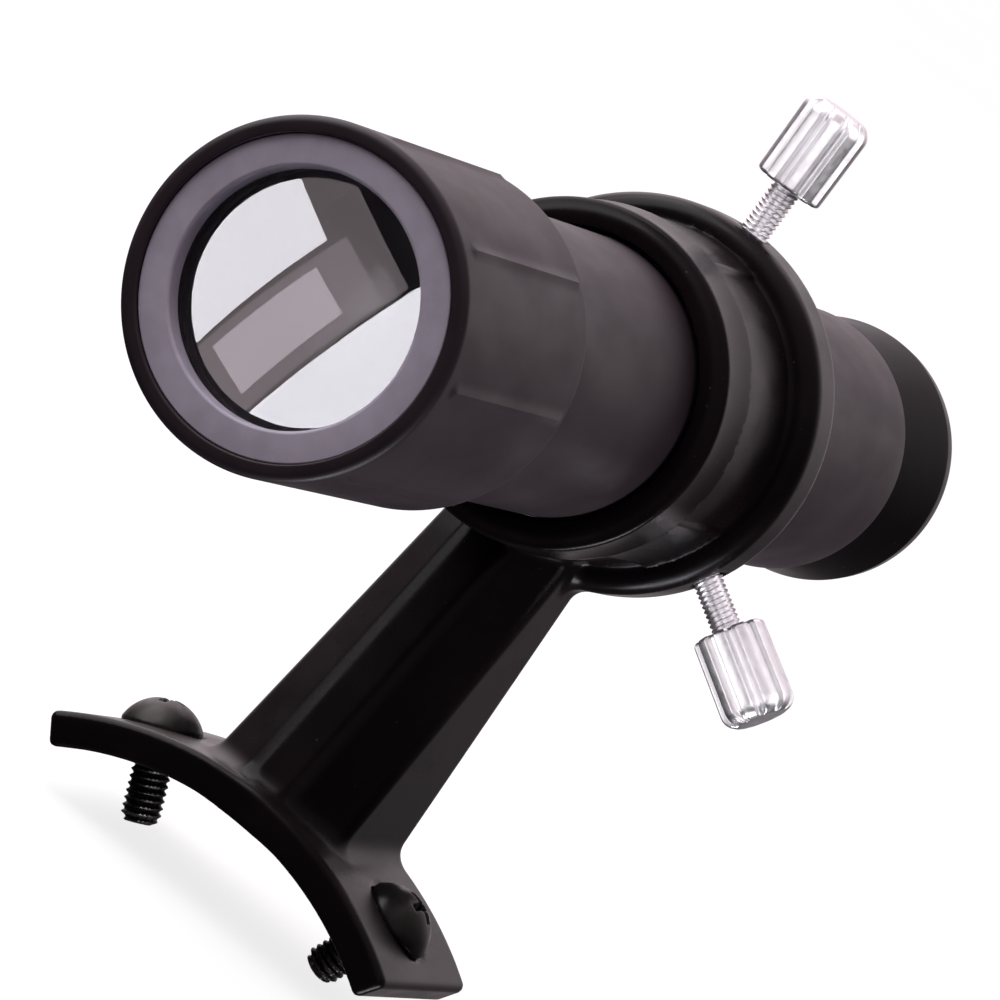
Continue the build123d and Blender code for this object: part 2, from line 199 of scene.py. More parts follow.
def turned(outline, axis=FINDER_AXIS, segments=192, shape=None):
    """Points and faces of a closed (along, radius) outline turned about an axis.

    shape, if given, changes the radii: it takes arrays of along, radius and angle."""
    origin, along_way, across, side = axis
    profile = np.array(outline)
    count = len(profile)
    angles = np.arange(segments) * 2 * math.pi / segments
    along, angle = np.meshgrid(profile[:, 0], angles, indexing="ij")
    radius = np.repeat(profile[:, 1:], segments, axis=1)
    if shape is not None:
        radius = shape(along, radius, angle)
    outwards = np.cos(angle)[..., None] * across + np.sin(angle)[..., None] * side
    points = origin + along[..., None] * along_way + radius[..., None] * outwards
    rows = np.arange(count)[:, None] * segments
    next_rows = (np.arange(count)[:, None] + 1) % count * segments
    columns = np.arange(segments)[None, :]
    next_columns = (columns + 1) % segments
    corners = (rows + columns, next_rows + columns, next_rows + next_columns, rows + next_columns)
    centred = profile[:, 1] < ON_AXIS_RADIUS
    on_axis = centred & np.roll(centred, -1)
    faces = np.stack(np.broadcast_arrays(*corners), axis=-1)[~on_axis].reshape(-1, 4)
    return points.reshape(-1, 3), faces.tolist()


def joined(*parts):
    """Several (points, faces) pairs as one pair."""
    points = []
    faces = []
    start = 0
    for part_points, part_faces in parts:
        points.append(part_points)
        faces.extend([[start + corner for corner in face] for face in part_faces])
        start += len(part_points)
    return np.concatenate(points), faces


MARGIN_BEFORE, MARGIN_AFTER = 2.5, 3     # grid steps round the box that is meshed
PROJECTION_ROUNDS = 4
PROBE_SHARE = 50                 # the slope is measured over a grid step divided by this
LEAST_STEEPNESS = 0.05
LONGEST_MOVE = 0.5               # of a grid step, in one round


def corner_slices(offset, shape):
    """Slices that pick one corner of every grid cell."""
    return tuple(slice(shift, size - 1 + shift) for shift, size in zip(offset, shape))


def meshed(field, low, high, step):
    """Points and faces of the closed surface where field(x, y, z) is zero.

    Each grid cell that the surface crosses gets one point, moved onto the surface along the
    field's slope, and each grid line that it crosses gets one face."""
    axes = [
        np.arange(start - MARGIN_BEFORE * step, stop + MARGIN_AFTER * step, step)
        for start, stop in zip(low, high)
    ]
    values = field(*np.meshgrid(*axes, indexing="ij"))
    inside = values < 0
    cells = tuple(size - 1 for size in values.shape)
    offsets = [(i, j, k) for i in (0, 1) for j in (0, 1) for k in (0, 1)]
    held = sum(inside[corner_slices(offset, values.shape)].astype(np.int8) for offset in offsets)
    crossed = (held > 0) & (held < 8)
    number = np.full(cells, -1)
    number[crossed] = np.arange(crossed.sum())
    base = np.argwhere(crossed).astype(float)
    total = np.zeros_like(base)
    hits = np.zeros(len(base))
    for start in offsets:
        for way in range(3):
            if start[way]:
                continue
            finish = tuple(1 if index == way else value for index, value in enumerate(start))
            near = values[corner_slices(start, values.shape)][crossed]
            far = values[corner_slices(finish, values.shape)][crossed]
            hit = (near < 0) != (far < 0)
            share = np.where(hit, near / np.where(hit, near - far, 1), 0)
            place = np.array(start, float) + share[:, None] * np.eye(3)[way]
            total += place * hit[:, None]
            hits += hit
    points = np.array([axis[0] for axis in axes]) + (base + total / hits[:, None]) * step
    small = step / PROBE_SHARE
    for _ in range(PROJECTION_ROUNDS):
        here = field(*points.T)
        changes = [
            field(*(points + small * way).T) - field(*(points - small * way).T)
            for way in np.eye(3)
        ]
        slope = np.stack(changes, axis=-1) / (2 * small)
        steepness = np.maximum((slope**2).sum(axis=1), LEAST_STEEPNESS)
        move = -(here / steepness)[:, None] * slope
        length = np.linalg.norm(move, axis=1, keepdims=True)
        points = points + move * np.minimum(1, LONGEST_MOVE * step / np.maximum(length, 1e-12))
    faces = []
    for way in range(3):
        one, two = (way + 1) % 3, (way + 2) % 3
        near = np.moveaxis(inside, (way, one, two), (0, 1, 2))
        grid = np.moveaxis(number, (way, one, two), (0, 1, 2))
        flips = near[:-1, 1:-1, 1:-1] != near[1:, 1:-1, 1:-1]
        i, j, k = np.nonzero(flips)
        round_it = ((j, k), (j + 1, k), (j + 1, k + 1), (j, k + 1))
        quad = np.stack([grid[i, row, column] for row, column in round_it], axis=-1)
        outwards = near[:-1, 1:-1, 1:-1][flips]
        faces.append(np.where(outwards[:, None], quad, quad[:, ::-1]))
    return points, np.concatenate(faces).tolist()


# ---- shapes as distance fields, for the moulding and the screw heads ------------------------
def rounded_box(offsets, halves, rounding):
    """Distance to a box with rounded edges, from offsets to its middle along each way."""
    over = [np.abs(offset) - half + rounding for offset, half in zip(offsets, halves)]
    outer = np.sqrt(sum(np.maximum(part, 0) ** 2 for part in over))
    inner = np.minimum(np.maximum.reduce(over), 0)
    return outer + inner - rounding


def blended(one, two, width):
    """Two shapes as one, with a fillet about as wide as width where they meet."""
    share = np.clip(0.5 + 0.5 * (two - one) / width, 0, 1)
    return two * (1 - share) + one * share - width * share * (1 - share)


def carved(shape, tool, width):
    """A shape with a tool cut out of it, and the cut's edge rounded."""
    return -blended(-shape, tool, width)


BAND_INNER_RADIUS = 10.0         # inside the bore, which is cut afterwards


def turned_band(y, radius, front, rear, top, rounding):
    """A ring section between two planes, up to a radius, with its outer corners rounded."""
    offsets = (y - (front + rear) / 2, radius - (BAND_INNER_RADIUS + top) / 2)
    halves = ((rear - front) / 2, (top - BAND_INNER_RADIUS) / 2)
    return rounded_box(offsets, halves, rounding)


# the saddle rests on the telescope's tube; its screws point at the tube's axis
SADDLE_THICKNESS = 3.5
SADDLE_HALF_LENGTH = 12.0
SADDLE_HALF_ANGLE = math.radians(34)
SADDLE_EDGE_ROUND = 0.75
SCREW_TILT = math.asin(MOUNTS["foot_pin_right"]["axis"][0] * -1)
SEAT_RADIUS = 34.5
TELESCOPE_Z = -SEAT_RADIUS
SPOT_FACE_RADIUS = 4.3
SPOT_FACE_LEVEL = SEAT_RADIUS + SADDLE_THICKNESS - 0.35
SPOT_FACE_CUT = 3.0
SPOT_FACE_EDGE = 0.15
FOOT_HOLE_RADIUS = 2.2
FOOT_HOLE_EDGE = 0.2
SEAT_EDGE = 0.3

LEG_FOOT_FRONT = -11.6
LEG_TOP_FRONT = 1.5
LEG_TOP = 41.0
LEG_REAR = 11.6
LEG_FOOT_HALF_WIDTH = 8.0
LEG_TOP_HALF_WIDTH = 6.5
LEG_FLAT_HALF_WIDTH = 2.4
LEG_CHAMFER_DEPTH = 5.0
LEG_EDGE = 0.7
LEG_BELOW_SEAT = 1.0
LEG_SADDLE_FILLET = 1.8
LEG_RING_FILLET = 1.4

BRACKET_LOW, BRACKET_HIGH = node_box("mount_bracket")
RING_FRONT, RING_REAR = BRACKET_LOW[1], BRACKET_HIGH[1]
REAR_FLANGE_RADIUS = BRACKET_HIGH[2] - FINDER_Z
REAR_FLANGE_FRONT = 6.5
REAR_FLANGE_ROUND = 2.0
REAR_FLANGE_FILLET = 0.7
FRONT_FLANGE_RADIUS = 16.9       # at its rear edge; it narrows towards the front
FRONT_FLANGE_FRONT_RADIUS = 16.1
FRONT_FLANGE_REAR = -6.8
FRONT_FLANGE_ROUND = 1.3
FRONT_FLANGE_EXTRA = 3.0         # cut off again, so that the flange's rear edge stays crisp
FRONT_FLANGE_EDGE = 0.2
FRONT_FLANGE_FILLET = 0.25
WAIST_RADIUS = 16.5
WAIST_INSET = 0.5                # from the ring's ends, and how far its corners are rounded
BOSS_RADIUS = 16.8
BOSS_HALF_ANGLE = math.radians(14)
BOSS_ROUND = 0.3
BOSS_FILLET = 0.25
BOSS_FRONT = FRONT_FLANGE_REAR - 0.5
BOSS_REAR = REAR_FLANGE_FRONT + 1
RING_LIP_REAR = -9.3             # half way down the cone that opens the lip into the bore
RING_BORE = 15.2
RING_LIP = bore("mount_bracket")
BORE_EDGE = 0.35
GROOVE_HALF_WIDTH = 1.0
STUD_Y = JOINTS["top_knob_turn"]["pos_m"][1] / MM
TAPPED_HOLE_RADIUS = 1.55
TAPPED_HOLE_EDGE = 0.35


def leg_field(x, y, z):
    """The leg: a flat narrow front between two chamfers, leaning back to the ring."""
    share = z / LEG_TOP
    front = LEG_FOOT_FRONT + (LEG_TOP_FRONT - LEG_FOOT_FRONT) * share
    width = LEG_FOOT_HALF_WIDTH + (LEG_TOP_HALF_WIDTH - LEG_FOOT_HALF_WIDTH) * share
    run = width - LEG_FLAT_HALF_WIDTH
    length = np.hypot(run, LEG_CHAMFER_DEPTH)
    across = np.abs(x) - LEG_FLAT_HALF_WIDTH
    chamfer = (across * LEG_CHAMFER_DEPTH - (y - front) * run) / length
    lean = math.cos(math.atan((LEG_TOP_FRONT - LEG_FOOT_FRONT) / LEG_TOP))
    faces = (np.abs(x) - width, chamfer * lean, (front - y) * lean, y - LEG_REAR)
    over = [face + LEG_EDGE for face in faces]
    outer = np.sqrt(sum(np.maximum(part, 0) ** 2 for part in over))
    body = outer + np.minimum(np.maximum.reduce(over), 0) - LEG_EDGE
    return np.maximum(body, np.maximum(-LEG_BELOW_SEAT - z, z - LEG_TOP))


def saddle_field(x, y, z):
    """The curved foot, a strip of tube wall under the leg."""
    radius = np.hypot(x, z - TELESCOPE_Z)
    middle = SEAT_RADIUS + SADDLE_THICKNESS / 2
    arc = np.arctan2(x, z - TELESCOPE_Z) * middle
    halves = (SADDLE_THICKNESS / 2, SADDLE_HALF_LENGTH, SADDLE_HALF_ANGLE * middle)
    return rounded_box((radius - middle, y, arc), halves, SADDLE_EDGE_ROUND)


def ring_field(x, y, z):
    """The ring round the finder, with its two flanges and three screw bosses."""
    radius = np.hypot(x, z - FINDER_Z)
    angle = np.arctan2(x, z - FINDER_Z)
    waist_ends = (RING_FRONT + WAIST_INSET, RING_REAR - WAIST_INSET)
    shape = turned_band(y, radius, *waist_ends, WAIST_RADIUS, WAIST_INSET)
    slope = (FRONT_FLANGE_RADIUS - FRONT_FLANGE_FRONT_RADIUS) / (FRONT_FLANGE_REAR - RING_FRONT)
    cone = radius + (FRONT_FLANGE_REAR - y) * slope
    front_ends = (RING_FRONT, FRONT_FLANGE_REAR + FRONT_FLANGE_EXTRA)
    front = turned_band(y, cone, *front_ends, FRONT_FLANGE_RADIUS, FRONT_FLANGE_ROUND)
    front = carved(front, FRONT_FLANGE_REAR - y, FRONT_FLANGE_EDGE)
    rear_ends = (REAR_FLANGE_FRONT, RING_REAR)
    rear = turned_band(y, radius, *rear_ends, REAR_FLANGE_RADIUS, REAR_FLANGE_ROUND)
    shape = blended(blended(shape, front, FRONT_FLANGE_FILLET), rear, REAR_FLANGE_FILLET)
    boss_y = y - (BOSS_FRONT + BOSS_REAR) / 2
    boss_level = radius - (BAND_INNER_RADIUS + BOSS_RADIUS) / 2
    halves = (
        (BOSS_REAR - BOSS_FRONT) / 2,
        (BOSS_RADIUS - BAND_INNER_RADIUS) / 2,
        BOSS_HALF_ANGLE * BOSS_RADIUS,
    )
    for side in SIDES:
        axis = JOINTS[f"{side}_stud_travel"]["axis"]
        turn = angle - math.atan2(axis[0], axis[2])
        turn = (turn + math.pi) % (2 * math.pi) - math.pi
        boss = rounded_box((boss_y, boss_level, turn * BOSS_RADIUS), halves, BOSS_ROUND)
        shape = blended(shape, boss, BOSS_FILLET)
    return shape


def bore_field(x, y, z):
    """What is cut from the ring: its bore, the narrower front lip and the rubber ring's groove."""
    radius = np.hypot(x, z - FINDER_Z)
    lip = radius - RING_LIP
    main = np.maximum(radius - RING_BORE, RING_LIP_REAR - y)
    groove_low, groove_high = node_box("pivot_o_ring")
    middle = (groove_low[1] + groove_high[1]) / 2
    groove = np.maximum(radius - groove_high[0], np.abs(y - middle) - GROOVE_HALF_WIDTH)
    return np.minimum(np.minimum(lip, main), groove)


def bracket_field(x, y, z):
    """The whole one-piece moulding."""
    shape = blended(leg_field(x, y, z), saddle_field(x, y, z), LEG_SADDLE_FILLET)
    shape = blended(shape, ring_field(x, y, z), LEG_RING_FILLET)
    shape = carved(shape, bore_field(x, y, z), BORE_EDGE)
    shape = carved(shape, np.hypot(x, z - TELESCOPE_Z) - SEAT_RADIUS, SEAT_EDGE)
    for side in SIDES:
        axis = JOINTS[f"{side}_stud_travel"]["axis"]
        along = x * axis[0] + (z - FINDER_Z) * axis[2]
        across = np.hypot(y - STUD_Y, x * axis[2] - (z - FINDER_Z) * axis[0])
        hole = np.maximum(across - TAPPED_HOLE_RADIUS, -along)
        shape = carved(shape, hole, TAPPED_HOLE_EDGE)
    for tilt in (-SCREW_TILT, SCREW_TILT):
        along = x * math.sin(tilt) + (z - TELESCOPE_Z) * math.cos(tilt)
        across = np.hypot(y, x * math.cos(tilt) - (z - TELESCOPE_Z) * math.sin(tilt))
        half_cut = SPOT_FACE_CUT / 2
        depth = np.abs(along - SPOT_FACE_LEVEL - half_cut) - half_cut
        shape = carved(shape, np.maximum(across - SPOT_FACE_RADIUS, depth), SPOT_FACE_EDGE)
        hole = np.maximum(across - FOOT_HOLE_RADIUS, -along)
        shape = carved(shape, hole, FOOT_HOLE_EDGE)
    return shape


HEAD_RADIUS = 4.0
HEAD_HEIGHT = 3.1
HEAD_DOME_OFFSET = 0.25          # the dome's sphere is this much larger and lower
HEAD_LIFT = 0.03                 # off the spot face
CROSS_LENGTH = 3.6
CROSS_WIDTH = 0.9
CROSS_DEPTH = 1.4
CROSS_DRAFT = 0.25
CROSS_EDGE = 0.15
M4_PITCH = 0.7
M4_RADIUS = 2.0
M4_THREAD_DEPTH = 0.4
SHANK_PAST_SEAT = 6.0
TIP_LENGTH = 0.8
TIP_TAPER = 0.5
NECK_RADIUS = 1.7
NECK_PAST_SEAT = 0.3
SHANK_IN_HEAD = 1
HEAD_FILLET = 0.2


def foot_screw_field(tilt):
    """A domed M4 screw with a cross recess, whose head stands on the saddle's spot face."""
    low_end = SEAT_RADIUS - SHANK_PAST_SEAT
    dome_radius = (HEAD_RADIUS**2 + HEAD_HEIGHT**2) / (2 * HEAD_HEIGHT)

    def field(x, y, z):
        along = x * math.sin(tilt) + (z - TELESCOPE_Z) * math.cos(tilt)
        side = x * math.cos(tilt) - (z - TELESCOPE_Z) * math.sin(tilt)
        radius = np.hypot(side, y)
        level = along - SPOT_FACE_LEVEL
        dome_level = level - HEAD_HEIGHT + dome_radius + HEAD_DOME_OFFSET
        dome = np.hypot(radius, dome_level) - dome_radius - HEAD_DOME_OFFSET
        head = np.maximum(np.maximum(dome, radius - HEAD_RADIUS), HEAD_LIFT - level)
        # the cross narrows towards its bottom
        draft = np.clip(HEAD_HEIGHT - level, 0, CROSS_DEPTH) * CROSS_DRAFT
        slots = [
            np.maximum(np.abs(a) - CROSS_WIDTH / 2 + draft, np.abs(b) - CROSS_LENGTH / 2 + draft)
            for a, b in ((side, y), (y, side))
        ]
        cross = np.maximum(np.minimum(*slots), HEAD_HEIGHT - CROSS_DEPTH - level)
        head = carved(head, cross, CROSS_EDGE)
        turn = np.arctan2(side, y) / (2 * math.pi)
        wave = np.abs((along / M4_PITCH + turn) % 1 - 0.5) * 2
        taper = np.clip((low_end + TIP_LENGTH - along) / TIP_LENGTH, 0, 1) * TIP_TAPER
        in_neck = along > SEAT_RADIUS - NECK_PAST_SEAT
        shank = radius - np.where(in_neck, NECK_RADIUS, M4_RADIUS - M4_THREAD_DEPTH * wave - taper)
        shank = np.maximum(shank, np.maximum(low_end - along, level - SHANK_IN_HEAD))
        return blended(head, shank, HEAD_FILLET)

    return field


# ---- material building blocks -----------------------------------------------------------------
class Shader:
    """A material's node tree, with short calls for the nodes that the finishes share."""

    def __init__(self, name):
        self.material = bpy.data.materials.new(name)
        self.material.use_nodes = True
        self.tree = self.material.node_tree
        self.surface = self.tree.nodes["Principled BSDF"]
        coordinates = self.tree.nodes.new("ShaderNodeTexCoord")
        self.place = coordinates.outputs["Object"]

    def feed(self, socket, value):
        """Links a socket, or sets its value."""
        if isinstance(value, bpy.types.NodeSocket):
            self.tree.links.new(value, socket)
        else:
            socket.default_value = value

    def set(self, **inputs):
        """Sets inputs of the surface; an underscore in a name stands for a space."""
        for name, value in inputs.items():
            self.feed(self.surface.inputs[name.replace("_", " ")], value)

    def node(self, kind, inputs, output=0, **settings):
        """A new node with its inputs set by name or number, and one of its outputs."""
        node = self.tree.nodes.new(kind)
        for name, value in settings.items():
            setattr(node, name, value)
        for name, value in inputs.items():
            self.feed(node.inputs[name], value)
        return node.outputs[output]

    def noise(self, size, detail=3.0, stretch=(1, 1, 1)):
        """Noise from 0 to 1 whose features are about size millimetres wide."""
        scale = [1 / (size * MM * part) for part in stretch]
        place = self.node("ShaderNodeVectorMath", {0: self.place, 1: scale}, operation="MULTIPLY")
        inputs = {"Vector": place, "Scale": 1.0, "Detail": detail, "Roughness": 0.5}
        return self.node("ShaderNodeTexNoise", inputs)

    def math(self, operation, one, two=0.0):
        """A sum, product and so on of two values."""
        return self.node("ShaderNodeMath", {0: one, 1: two}, operation=operation)

    def ramp(self, value, low, high, to_low=0.0, to_high=1.0):
        """A value from low..high brought to to_low..to_high, smoothly and without going past."""
        inputs = {"Value": value, 1: low, 2: high, 3: to_low, 4: to_high}
        return self.node("ShaderNodeMapRange", inputs, interpolation_type="SMOOTHSTEP")

    def mix(self, share, one, two):
        """One colour turning into another."""
        one, two = ((*tone, 1) if isinstance(tone, tuple) else tone for tone in (one, two))
        inputs = {0: share, 6: one, 7: two}
        return self.node("ShaderNodeMix", inputs, output=2, data_type="RGBA")

    def bump(self, height, depth, below=None):
        """A bump of a height from 0 to 1, depth millimetres deep, on top of another one."""
        inputs = {"Height": height, "Distance": depth * MM, "Strength": 1.0}
        if below is not None:
            inputs["Normal"] = below
        return self.node("ShaderNodeBump", inputs)

    def edges(self, width):
        """1 along convex and concave edges and 0 on open faces."""
        soft = self.node("ShaderNodeBevel", {"Radius": width * MM}, samples=4)
        hard = self.node("ShaderNodeNewGeometry", {}, output=1)
        normals = {0: soft, 1: hard}
        agree = self.node("ShaderNodeVectorMath", normals, output=1, operation="DOT_PRODUCT")
        return self.ramp(agree, 0.9, 0.995, 1.0, 0.0)

    def radius(self, centre_z):
        """Distance from the finder's axis, in millimetres."""
        parts = self.tree.nodes.new("ShaderNodeSeparateXYZ")
        self.feed(parts.inputs[0], self.place)
        height = self.math("SUBTRACT", parts.outputs[2], centre_z * MM)
        squares = [self.math("POWER", part, 2) for part in (height, parts.outputs[0])]
        squares = self.math("ADD", *squares)
        return self.math("DIVIDE", self.math("SQRT", squares), MM)


def moulded_plastic(name, dark, light, gloss, grain_size, grain_depth, ior, wear):
    """Black moulded plastic: cloudy tone, fine grain, dust specks and edges rubbed lighter."""
    shader = Shader(name)
    cloud = shader.noise(9.0, 4)
    colour = shader.mix(shader.ramp(cloud, 0.3, 0.7), dark, light)
    patches = shader.ramp(shader.noise(1.2, 5), 0.45, 0.7)
    rubbed = shader.math("MULTIPLY", shader.edges(0.35), patches)
    worn_tone = tuple(min(1.0, part * 2.5 + 0.03) for part in light)
    colour = shader.mix(shader.math("MULTIPLY", rubbed, wear), colour, worn_tone)
    speck = shader.ramp(shader.noise(0.45, 2), 0.74, 0.8)
    colour = shader.mix(shader.math("MULTIPLY", speck, 0.35), colour, (0.16, 0.15, 0.15))
    smooth, matt = gloss
    smear = shader.noise(5.0, 5, stretch=(1, 2.5, 1))
    roughness = shader.ramp(smear, 0.3, 0.72, smooth, matt)
    roughness = shader.math("ADD", roughness, shader.math("MULTIPLY", speck, 0.25))
    flow = shader.bump(shader.noise(6.0, 2), 0.012)
    grain = shader.bump(shader.noise(grain_size, 3), grain_depth, flow)
    shader.set(Base_Color=colour, Roughness=roughness, Normal=grain, IOR=ior)
    return shader.material


def ring_face_painted_light(name):
    """Ring face with the fine circles that turning leaves, in a pale grey-violet that is painted
    light: far paler than the ring's own dark grey, to make up for the dim light in front.
    """
    shader = Shader(name)
    radius = shader.radius(FINDER_Z)
    line_gap = 0.09
    lines = shader.math("SINE", shader.math("MULTIPLY", radius, 2 * math.pi / line_gap))
    cloud = shader.noise(3.0, 4)
    # painted light: the face's pale grey-violet is far lighter than the ring's own dark grey and
    # stands in for the light it catches
    colour = shader.mix(shader.ramp(cloud, 0.3, 0.7), (0.66, 0.6, 0.73), (0.76, 0.69, 0.84))
    speck = shader.ramp(shader.noise(0.35, 2), 0.73, 0.8)
    colour = shader.mix(shader.math("MULTIPLY", speck, 0.4), colour, (0.75, 0.7, 0.74))
    roughness = shader.ramp(shader.noise(1.5, 4), 0.3, 0.7, 0.36, 0.5)
    turned_lines = shader.bump(lines, 0.0012)
    grain = shader.bump(shader.noise(0.12, 2), 0.003, turned_lines)
    shader.set(Base_Color=colour, Roughness=roughness, Normal=grain, IOR=1.5)
    return shader.material


def flat_black(name):
    """Matt anti-reflection paint on the inside."""
    shader = Shader(name)
    colour = shader.mix(shader.noise(2.0, 4), (0.006, 0.0055, 0.006), (0.016, 0.014, 0.015))
    roughness = shader.ramp(shader.noise(0.8, 4), 0.3, 0.7, 0.7, 0.9)
    paint = shader.bump(shader.noise(0.18, 3), 0.01)
    shader.set(Base_Color=colour, Roughness=roughness, Normal=paint, Specular_IOR_Level=0.3)
    return shader.material


def soft_rubber(name):
    """Dull black rubber with a faint bloom."""
    shader = Shader(name)
    bloom = shader.ramp(shader.noise(1.4, 5), 0.45, 0.75)
    colour = shader.mix(bloom, (0.012, 0.012, 0.013), (0.035, 0.033, 0.034))
    roughness = shader.ramp(bloom, 0.0, 1.0, 0.5, 0.75)
    grain = shader.bump(shader.noise(0.2, 3), 0.006)
    shader.set(Base_Color=colour, Roughness=roughness, Normal=grain)
    return shader.material


def coated_glass(name, mirror):
    """Clear lens glass with a few dust specks. Only a face that the camera sees from outside
    mirrors anything, and mirror is how strongly it does, 1 being bare glass."""
    shader = Shader(name)
    dust = shader.ramp(shader.noise(0.5, 2), 0.76, 0.82, 0.0, 0.1)
    haze = shader.ramp(shader.noise(4.0, 4), 0.35, 0.75, 0.0, 0.012)
    inside = shader.node("ShaderNodeNewGeometry", {}, output=6)
    seen = shader.node("ShaderNodeLightPath", {}, output=0)
    outer = shader.math("MULTIPLY", seen, shader.math("SUBTRACT", 1.0, inside))
    shader.set(
        Base_Color=shader.mix(haze, (0.985, 0.985, 1.0), (0.93, 0.94, 1.0)),
        Roughness=shader.math("ADD", dust, haze),
        Transmission_Weight=1.0,
        IOR=1.52,
        Specular_Tint=shader.mix(outer, (0.0, 0.0, 0.0), (mirror, mirror, mirror)),
    )
    return shader.material


def bright_plating(name):
    """Nickel plating: bright, a little uneven, with grime left in the grooves."""
    shader = Shader(name)
    patches = shader.ramp(shader.noise(0.9, 4), 0.4, 0.65)
    grime = shader.math("MULTIPLY", shader.edges(0.3), patches)
    cloud = shader.ramp(shader.noise(2.2, 4), 0.3, 0.7)
    colour = shader.mix(cloud, (0.84, 0.81, 0.84), (0.92, 0.9, 0.93))
    colour = shader.mix(shader.math("MULTIPLY", grime, 0.3), colour, (0.3, 0.26, 0.27))
    roughness = shader.ramp(shader.noise(0.7, 5), 0.3, 0.7, 0.3, 0.42)
    drawn = shader.bump(shader.noise(0.25, 3, stretch=(1, 1, 5)), 0.002)
    shader.set(Base_Color=colour, Metallic=1.0, Roughness=roughness, Normal=drawn)
    return shader.material


def blackened_steel(name):
    """Black oxide on steel, slightly brown where it has worn."""
    shader = Shader(name)
    patches = shader.ramp(shader.noise(0.6, 4), 0.35, 0.65)
    worn = shader.math("MULTIPLY", shader.edges(0.2), patches)
    cloud = shader.noise(1.3, 4)
    colour = shader.mix(cloud, (0.02, 0.018, 0.018), (0.045, 0.04, 0.038))
    colour = shader.mix(worn, colour, (0.22, 0.2, 0.18))
    roughness = shader.ramp(cloud, 0.3, 0.7, 0.28, 0.45)
    grain = shader.bump(shader.noise(0.15, 3), 0.003)
    shader.set(Base_Color=colour, Metallic=0.6, Roughness=roughness, Normal=grain)
    return shader.material


def bare_wire(name):
    """Fine drawn wire, dull and dark."""
    shader = Shader(name)
    colour = shader.mix(shader.noise(0.6, 3), (0.05, 0.045, 0.04), (0.12, 0.11, 0.1))
    roughness = shader.ramp(shader.noise(0.3), 0.3, 0.7, 0.3, 0.5)
    shader.set(Base_Color=colour, Metallic=1.0, Roughness=roughness)
    return shader.material


MATERIALS = {
    "satin_black_plastic": moulded_plastic(
        "satin_black",
        dark=(0.03, 0.0195, 0.026),
        light=(0.042, 0.028, 0.036),
        gloss=(0.42, 0.52),
        grain_size=0.16,
        grain_depth=0.006,
        ior=1.42,
        wear=0.3,
    ),
    "gloss_black_moulding": moulded_plastic(
        "gloss_black",
        dark=(0.0075, 0.005, 0.006),
        light=(0.012, 0.008, 0.0095),
        gloss=(0.2, 0.32),
        grain_size=0.3,
        grain_depth=0.002,
        ior=1.25,
        wear=0.2,
    ),
    "focus_ring_plastic": moulded_plastic(
        "focus_ring_black",
        dark=(0.004, 0.003, 0.0035),
        light=(0.007, 0.005, 0.006),
        gloss=(0.18, 0.28),
        grain_size=0.2,
        grain_depth=0.003,
        ior=1.08,
        wear=0.2,
    ),
    "ring_plastic": ring_face_painted_light("ring_face_painted_light"),
    "inner_black": flat_black("inner_black"),
    "rubber": soft_rubber("rubber"),
    "lens_glass": coated_glass("coated_glass", 1.0),
    "screw_plating": bright_plating("bright_plating"),
    "black_screw_steel": blackened_steel("blackened_steel"),
    "fine_wire": bare_wire("bare_wire"),
}
INNER_GLASS = coated_glass("inner_glass", 0.0)


def build(name, parts, node, slot, material=None):
    """One finished piece that stands for a CAD node."""
    return finished_object(name, *parts, node, slot, material or MATERIALS[slot])


# ---- the tube, the hood and the rings round the front glass --------------------------------
CELL_FLATS = 8
CELL_FLAT_APOTHEM = 14.65
CELL_FLAT_TURN = math.radians(38.0)
CELL_FLAT_FADE = 0.12            # width of the soft edge where a flat meets the round
CELL_FLAT_START = 2.8            # from the cell's front
CELL_FLAT_STOP = 2.7             # from its rear
CELL_SHOULDER = 1.4
FIT = 0.05


def smooth_step(value, low, high):
    """0 below low and 1 above high, with a smooth change between."""
    share = np.clip((value - low) / (high - low), 0, 1)
    return share * share * (3 - 2 * share)


def build_hood():
    """The wide front shell: round at both ends, eight shallow flats between."""
    front, rear, radius = span("objective_cell")
    tube_front, _, tube_radius = span("main_tube")
    _, ring_rear, ring_radius = span("objective_retaining_ring")
    glass_radius = span("objective_crown_lens")[2]
    glass_rear = span("objective_flint_lens")[1]
    clear = bore("objective_cell")
    seat = glass_rear - 0.25
    corners = [
        (front, ring_radius + FIT, 0.2),
        (front, radius, 0.75),
        (rear - CELL_SHOULDER, radius, 1.3),
        (rear, radius - CELL_SHOULDER, 0.3),
        (rear, tube_radius + FIT, 0.1),
        (tube_front - 0.1, tube_radius + FIT, 0),
        (tube_front - 0.1, clear, 0),
        (seat, clear, 0),
        (seat, glass_radius + FIT, 0),
        (ring_rear, glass_radius + FIT, 0),
        (ring_rear, ring_radius + FIT, 0),
    ]
    flat_front, flat_rear = front + CELL_FLAT_START, rear - CELL_FLAT_STOP
    step = 2 * math.pi / CELL_FLATS
    least_radius = max((ring_radius + radius) / 2 - 1.0, CELL_FLAT_APOTHEM - 0.3)

    def flats(along, radii, angle):
        turn = (angle - CELL_FLAT_TURN) % step - step / 2
        limit = CELL_FLAT_APOTHEM / np.cos(turn) + 0.02
        flat = -blended(-radii, -limit, CELL_FLAT_FADE)
        share = smooth_step(along, flat_front - 0.4, flat_front + 0.4)
        share = share * (1 - smooth_step(along, flat_rear - 0.5, flat_rear + 0.5))
        return np.where(radii > least_radius, radii + (flat - radii) * share, radii)

    shell = turned(refined(rounded(corners), 0.45), segments=360, shape=flats)
    build("objective_hood", shell, "objective_cell", "satin_black_plastic")


TUBE_THREAD_FRONT = 45.0


